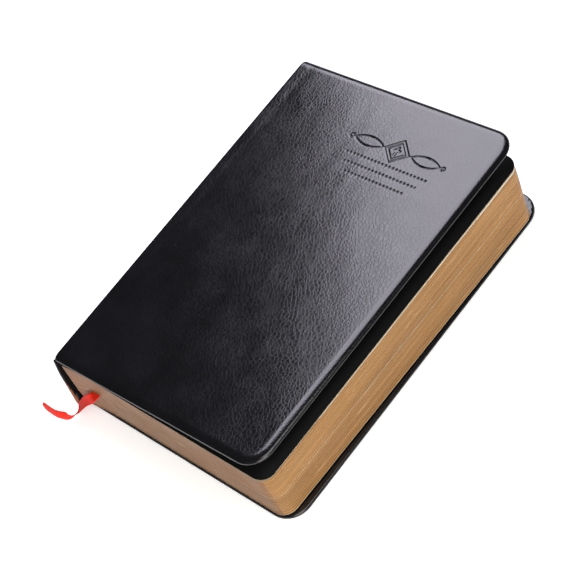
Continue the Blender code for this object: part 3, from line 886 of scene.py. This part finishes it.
def leaf_section(number, dice):
    node = f"section_{number:02d}"
    low, high = book_corner(node)
    bottom = low.z - (SLOT_FILL if number == SLOT_SECTION + 1 else FILL)
    top = high.z + (SLOT_FILL if number == SLOT_SECTION else FILL)
    outline = page_outline(low.x, high.x, low.y, high.y, PAGE_CORNER)
    points, faces, looks = [], [], []
    for ring in range(RINGS):
        share = ring / (RINGS - 1)
        z = bottom + (top - bottom) * share
        jitter = dice.gauss(0, LEAF_JITTER)
        if ring in (0, RINGS - 1):
            jitter = -FACE_INSET
        if number == 1 and ring < 2:
            jitter = FIRST_LEAVES_OUT
        fold = FOLD_ROUND * (1 - math.sqrt(max(1 - (2 * share - 1) ** 2, 0)))
        for x, y, way_x, way_y in outline:
            uneven = 0.07 * MM * noise.noise(Vector((x * 30, y * 30, z * 260)))
            uneven += 0.03 * MM * noise.noise(Vector((x * 160, y * 160, z * 900)))
            out = jitter + uneven
            near_fold = fold if x < low.x + 0.1 * MM else 0
            px, py = twist(x, y, z)
            point = px + way_x * out + near_fold, py + way_y * out, z
            points.append(slump(point, PAGE_SLIDE, PAGE_REACH))
    count = len(outline)
    for ring in range(RINGS - 1):
        for k in range(count):
            a, b = ring * count + k, ring * count + (k + 1) % count
            faces.append((a, b, b + count, a + count))
            # The top rings of the last section, more of them towards the head, get cream paper in place of gilt: a
            # painted highlight along the block's top edge.
            highlight_rings = HIGHLIGHT_RINGS * outline[k][1] / HEIGHT if number == SECTIONS else 0
            cream_and_highlight = k == count - 1 or (number == 1 and ring == 0) or RINGS - 1 - ring <= highlight_rings
            # The tail and head faces get the darker gilt as painted shade.
            shaded_side = abs(outline[k][3]) > 0.9
            looks.append(1 if cream_and_highlight else 2 * shaded_side)
    faces.append(tuple(reversed(range(count))))
    faces.append(tuple(range((RINGS - 1) * count, RINGS * count)))
    looks += [1, 1]
    return new_piece(f"leaves_{number:02d}", points, faces, [gilt, cream_paper, shaded_gilt], looks)


dice = random.Random(7)
for body in ("rear_block", "middle_block", "front_block"):
    members = [name for name in frame["record"]["behaviour"]["bodies"][body] if name.startswith("section_")]
    for node in members:
        leaves = leaf_section(int(node[-2:]), dice)
        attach(leaves, body)
        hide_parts(node)
    print(body, "has", len(members), "sections")

# %% [markdown]
# The endpapers are black. The free leaf of the front one lies on the block under the ajar cover and reaches
# half a millimetre past it. The topmost leaves under it get cream paper in place of gilt, more of them towards
# the head: a painted highlight that shows as a bright line along the block's top edge. A thin sheet
# needs only its outline, a few rows for its curl, and Solidify.

# %% Flyleaves
LEAF_THICKNESS = 0.16 * MM
SHEET_ROWS = 8


def flyleaf(name, node, z, x0, x1, lift, reach):
    """A leaf of endpaper. reach is how far past the pages it goes at the fore-edge."""
    low, high = book_corner("section_18")
    outline = page_outline(x0, x1, low.y, high.y, PAGE_CORNER, 16)
    middle = Vector(((x0 + x1) / 2, (low.y + high.y) / 2))
    points, faces = [], []
    for ring in range(SHEET_ROWS + 1):
        share = 1 - ring / SHEET_ROWS
        for x, y, way_x, way_y in outline:
            wider = reach * max(way_x, 0)
            px, py = middle.x + (x + wider - middle.x) * share, middle.y + (y - middle.y) * share
            curl = lift * smooth_step(px, x1 - 30 * MM, x1) * (0.4 + 0.6 * smooth_step(py, 0, HEIGHT))
            points.append(slump((*twist(px, py, z), z + curl), PAGE_SLIDE, PAGE_REACH))
    count = len(outline)
    for ring in range(SHEET_ROWS):
        for k in range(count):
            a, b = ring * count + k, ring * count + (k + 1) % count
            if ring == SHEET_ROWS - 1:
                faces.append((a, b, (ring + 1) * count))
            else:
                faces.append((a, b, b + count, a + count))
    leaf = new_piece(name, points, faces, [black_paper])
    leaf.data.validate()
    sheet = leaf.modifiers.new("leaf_thickness", "SOLIDIFY")
    sheet.thickness = LEAF_THICKNESS
    sheet.offset = 0
    merge = leaf.modifiers.new("merge_middle", "WELD")
    merge.merge_threshold = 0.00001
    apply_modifiers(leaf)
    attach(leaf, node)
    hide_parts(node)
    return leaf


block_low, block_high = book_corner("section_18")
first_low, first_high = book_corner("section_01")
LEAF_AXIS = Vector(joints["front_flyleaf_joint"]["pos_m"])
LEAF_SHARE = frame["record"]["behaviour"]["couplings"][0]["ratio"]
front_leaf_z = LEAF_AXIS.z + 0.12 * MM
block_ends = block_low.x, block_high.x
front_leaf = flyleaf("front_flyleaf_sheet", "front_flyleaf", front_leaf_z, *block_ends, 0.1 * MM, 0.5 * MM)
turn_about(front_leaf, LEAF_AXIS, AJAR * LEAF_SHARE)
back_leaf_z = (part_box("back_flyleaf")[0].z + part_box("back_flyleaf")[1].z) / 2
flyleaf("back_flyleaf_sheet", "back_flyleaf", back_leaf_z, first_low.x, first_high.x, 0, 0)
print("flyleaves: 2")

# %% [markdown]
# Where the block opens, the leaves of a real book run down into the gutter and hide the thread.

# %% Gutters
def gutter(name, axis, half_gap):
    inner, outer = 2.2 * MM, block_low.x + 2.5 * MM
    limb = [(x, axis.z - half_gap) for x in np.linspace(outer, inner + half_gap, 5)]
    turns = [math.radians(angle) for angle in (-60, -30, 0, 30, 60)]
    middle = inner + half_gap
    fold = [(middle - half_gap * math.cos(turn), axis.z + half_gap * math.sin(turn)) for turn in turns]
    profile = limb + fold + [(x, 2 * axis.z - z) for x, z in limb[::-1]]
    stations = np.linspace(block_low.y + MM, block_high.y - MM, 24)
    points = [(x, y, z) for y in stations for x, z in profile]
    count = len(profile)
    faces = []
    for row in range(len(stations) - 1):
        for k in range(count - 1):
            a = row * count + k
            faces.append((a, a + 1, a + 1 + count, a + count))
    strip = new_piece(name, points, faces, [cream_paper])
    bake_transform(strip)


gutter("ribbon_gutter", RIBBON_AXIS, 0.2 * MM)
gutter("front_gutter", FRONT_OPENING, 0.05 * MM)
print("gutters: 2")

# %% [markdown]
# The ribbon is glued in at the head of the spine, runs down between two sections and leaves at the tail,
# where it twists once and stands on its edge on the table. It is a flat band, so it is swept along its route
# with a way across at each point. Its free end is cut round, and the part outside the block is cupped.

# %% The ribbon marker
RIBBON_WIDTH = 5.5 * MM
RIBBON_THICKNESS = 0.22 * MM
RIBBON_CUP = 0.35 * MM
ACROSS_STEPS = 8
POINTS_PER_SPAN = 12
CUP_START, CUP_FULL = 50, 64
slot_z = RIBBON_AXIS.z
ribbon_exit = Vector((11.5 * MM, HEIGHT - 8 * MM, slot_z))
leaves_block = Vector((20 * MM, block_low.y + 4 * MM, slot_z))
ribbon_route = [
    (ribbon_exit, (1, 0, 0)),
    (ribbon_exit.lerp(leaves_block, 0.5), (1, 0, 0)),
    (ribbon_exit.lerp(leaves_block, 0.9), (1, 0, 0)),
    (leaves_block, (1, 0, 0)),
    (Vector((20 * MM, -0.2 * MM, slot_z)), (1, 0.05, 0)),
    (Vector((18.8 * MM, -2.6 * MM, slot_z - 0.6 * MM)), (1, -0.1, -0.05)),
    (Vector((13 * MM, -4.4 * MM, slot_z - 5.6 * MM)), (0.95, -0.3, 0.05)),
    (Vector((7.7, -7.4, 9.0)) * MM, (0.8, -0.6, 0.1)),
    (Vector((4.5, -10.1, 4.6)) * MM, (0.1, -0.85, 0.5)),
    (Vector((0.4, -12.8, 3.2)) * MM, (0, 0.3, 0.95)),
    (Vector((-4.4, -14.5, 3.1)) * MM, (0, 0.3, 0.95)),
    (Vector((-9.1, -14.9, 3.0)) * MM, (0, 0.3, 0.95)),
    (Vector((-16.6, -14.5, 3.0)) * MM, (0, 0.3, 0.95)),
]


def smooth_route(points, per_span):
    """Points on a Catmull-Rom curve through the given points."""
    ends = [points[0] * 2 - points[1]] + points + [points[-1] * 2 - points[-2]]
    route = []
    for a, b, c, d in zip(ends, ends[1:], ends[2:], ends[3:]):
        for step in range(per_span):
            t = step / per_span
            straight = 2 * b + (c - a) * t
            curved = (2 * a - 5 * b + 4 * c - d) * t**2 + (3 * b - a - 3 * c + d) * t**3
            route.append((straight + curved) / 2)
    route.append(points[-1])
    return route


centres = smooth_route([point for point, across in ribbon_route], POINTS_PER_SPAN)
ways = smooth_route([Vector(across).normalized() for point, across in ribbon_route], POINTS_PER_SPAN)
ribbon_points, ribbon_faces = [], []
for index, (centre, across) in enumerate(zip(centres, ways)):
    before, after = centres[max(index - 1, 0)], centres[min(index + 1, len(centres) - 1)]
    run = (after - before).normalized()
    side = (across - run * across.dot(run)).normalized()
    up = side.cross(run)
    from_end = (centre - centres[-1]).length
    for step in range(ACROSS_STEPS + 1):
        offset = (step / ACROSS_STEPS - 0.5) * RIBBON_WIDTH
        cupped = RIBBON_CUP * (1 - (2 * offset / RIBBON_WIDTH) ** 2) * smooth_step(index, CUP_START, CUP_FULL)
        if from_end < RIBBON_WIDTH / 2:
            width = math.sqrt(max(1 - (1 - from_end * 2 / RIBBON_WIDTH) ** 2, 0.02))
            offset *= 0.45 + 0.55 * width
        ribbon_points.append(centre + side * offset + up * cupped)
for row in range(len(centres) - 1):
    for k in range(ACROSS_STEPS):
        a = row * (ACROSS_STEPS + 1) + k
        ribbon_faces.append((a, a + 1, a + 2 + ACROSS_STEPS, a + 1 + ACROSS_STEPS))
ribbon = new_piece("ribbon_band", ribbon_points, ribbon_faces, [red_satin])
band = ribbon.modifiers.new("ribbon_thickness", "SOLIDIFY")
band.thickness = RIBBON_THICKNESS
band.offset = 0
apply_modifiers(ribbon)
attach(ribbon, "ribbon")
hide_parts("ribbon_marker")

# %% [markdown]
# The rest of the frame's solids are already the right shape: the boards and pastedowns in the covers, and
# the mull and the thread on the folds. They keep their meshes and get finishes of their own.

# %% Finishes for the solids that stay
kept = {
    "board": greyboard,
    "pastedown": black_paper,
    "mull": mull_cloth,
    "thread": linen_thread,
}
for name, node in frame["nodes"].items():
    for word, finish in kept.items():
        if word in name:
            node.data.materials.clear()
            node.data.materials.append(finish)
print("kept solids:", sum(any(word in name for word in kept) for name in frame["nodes"]))
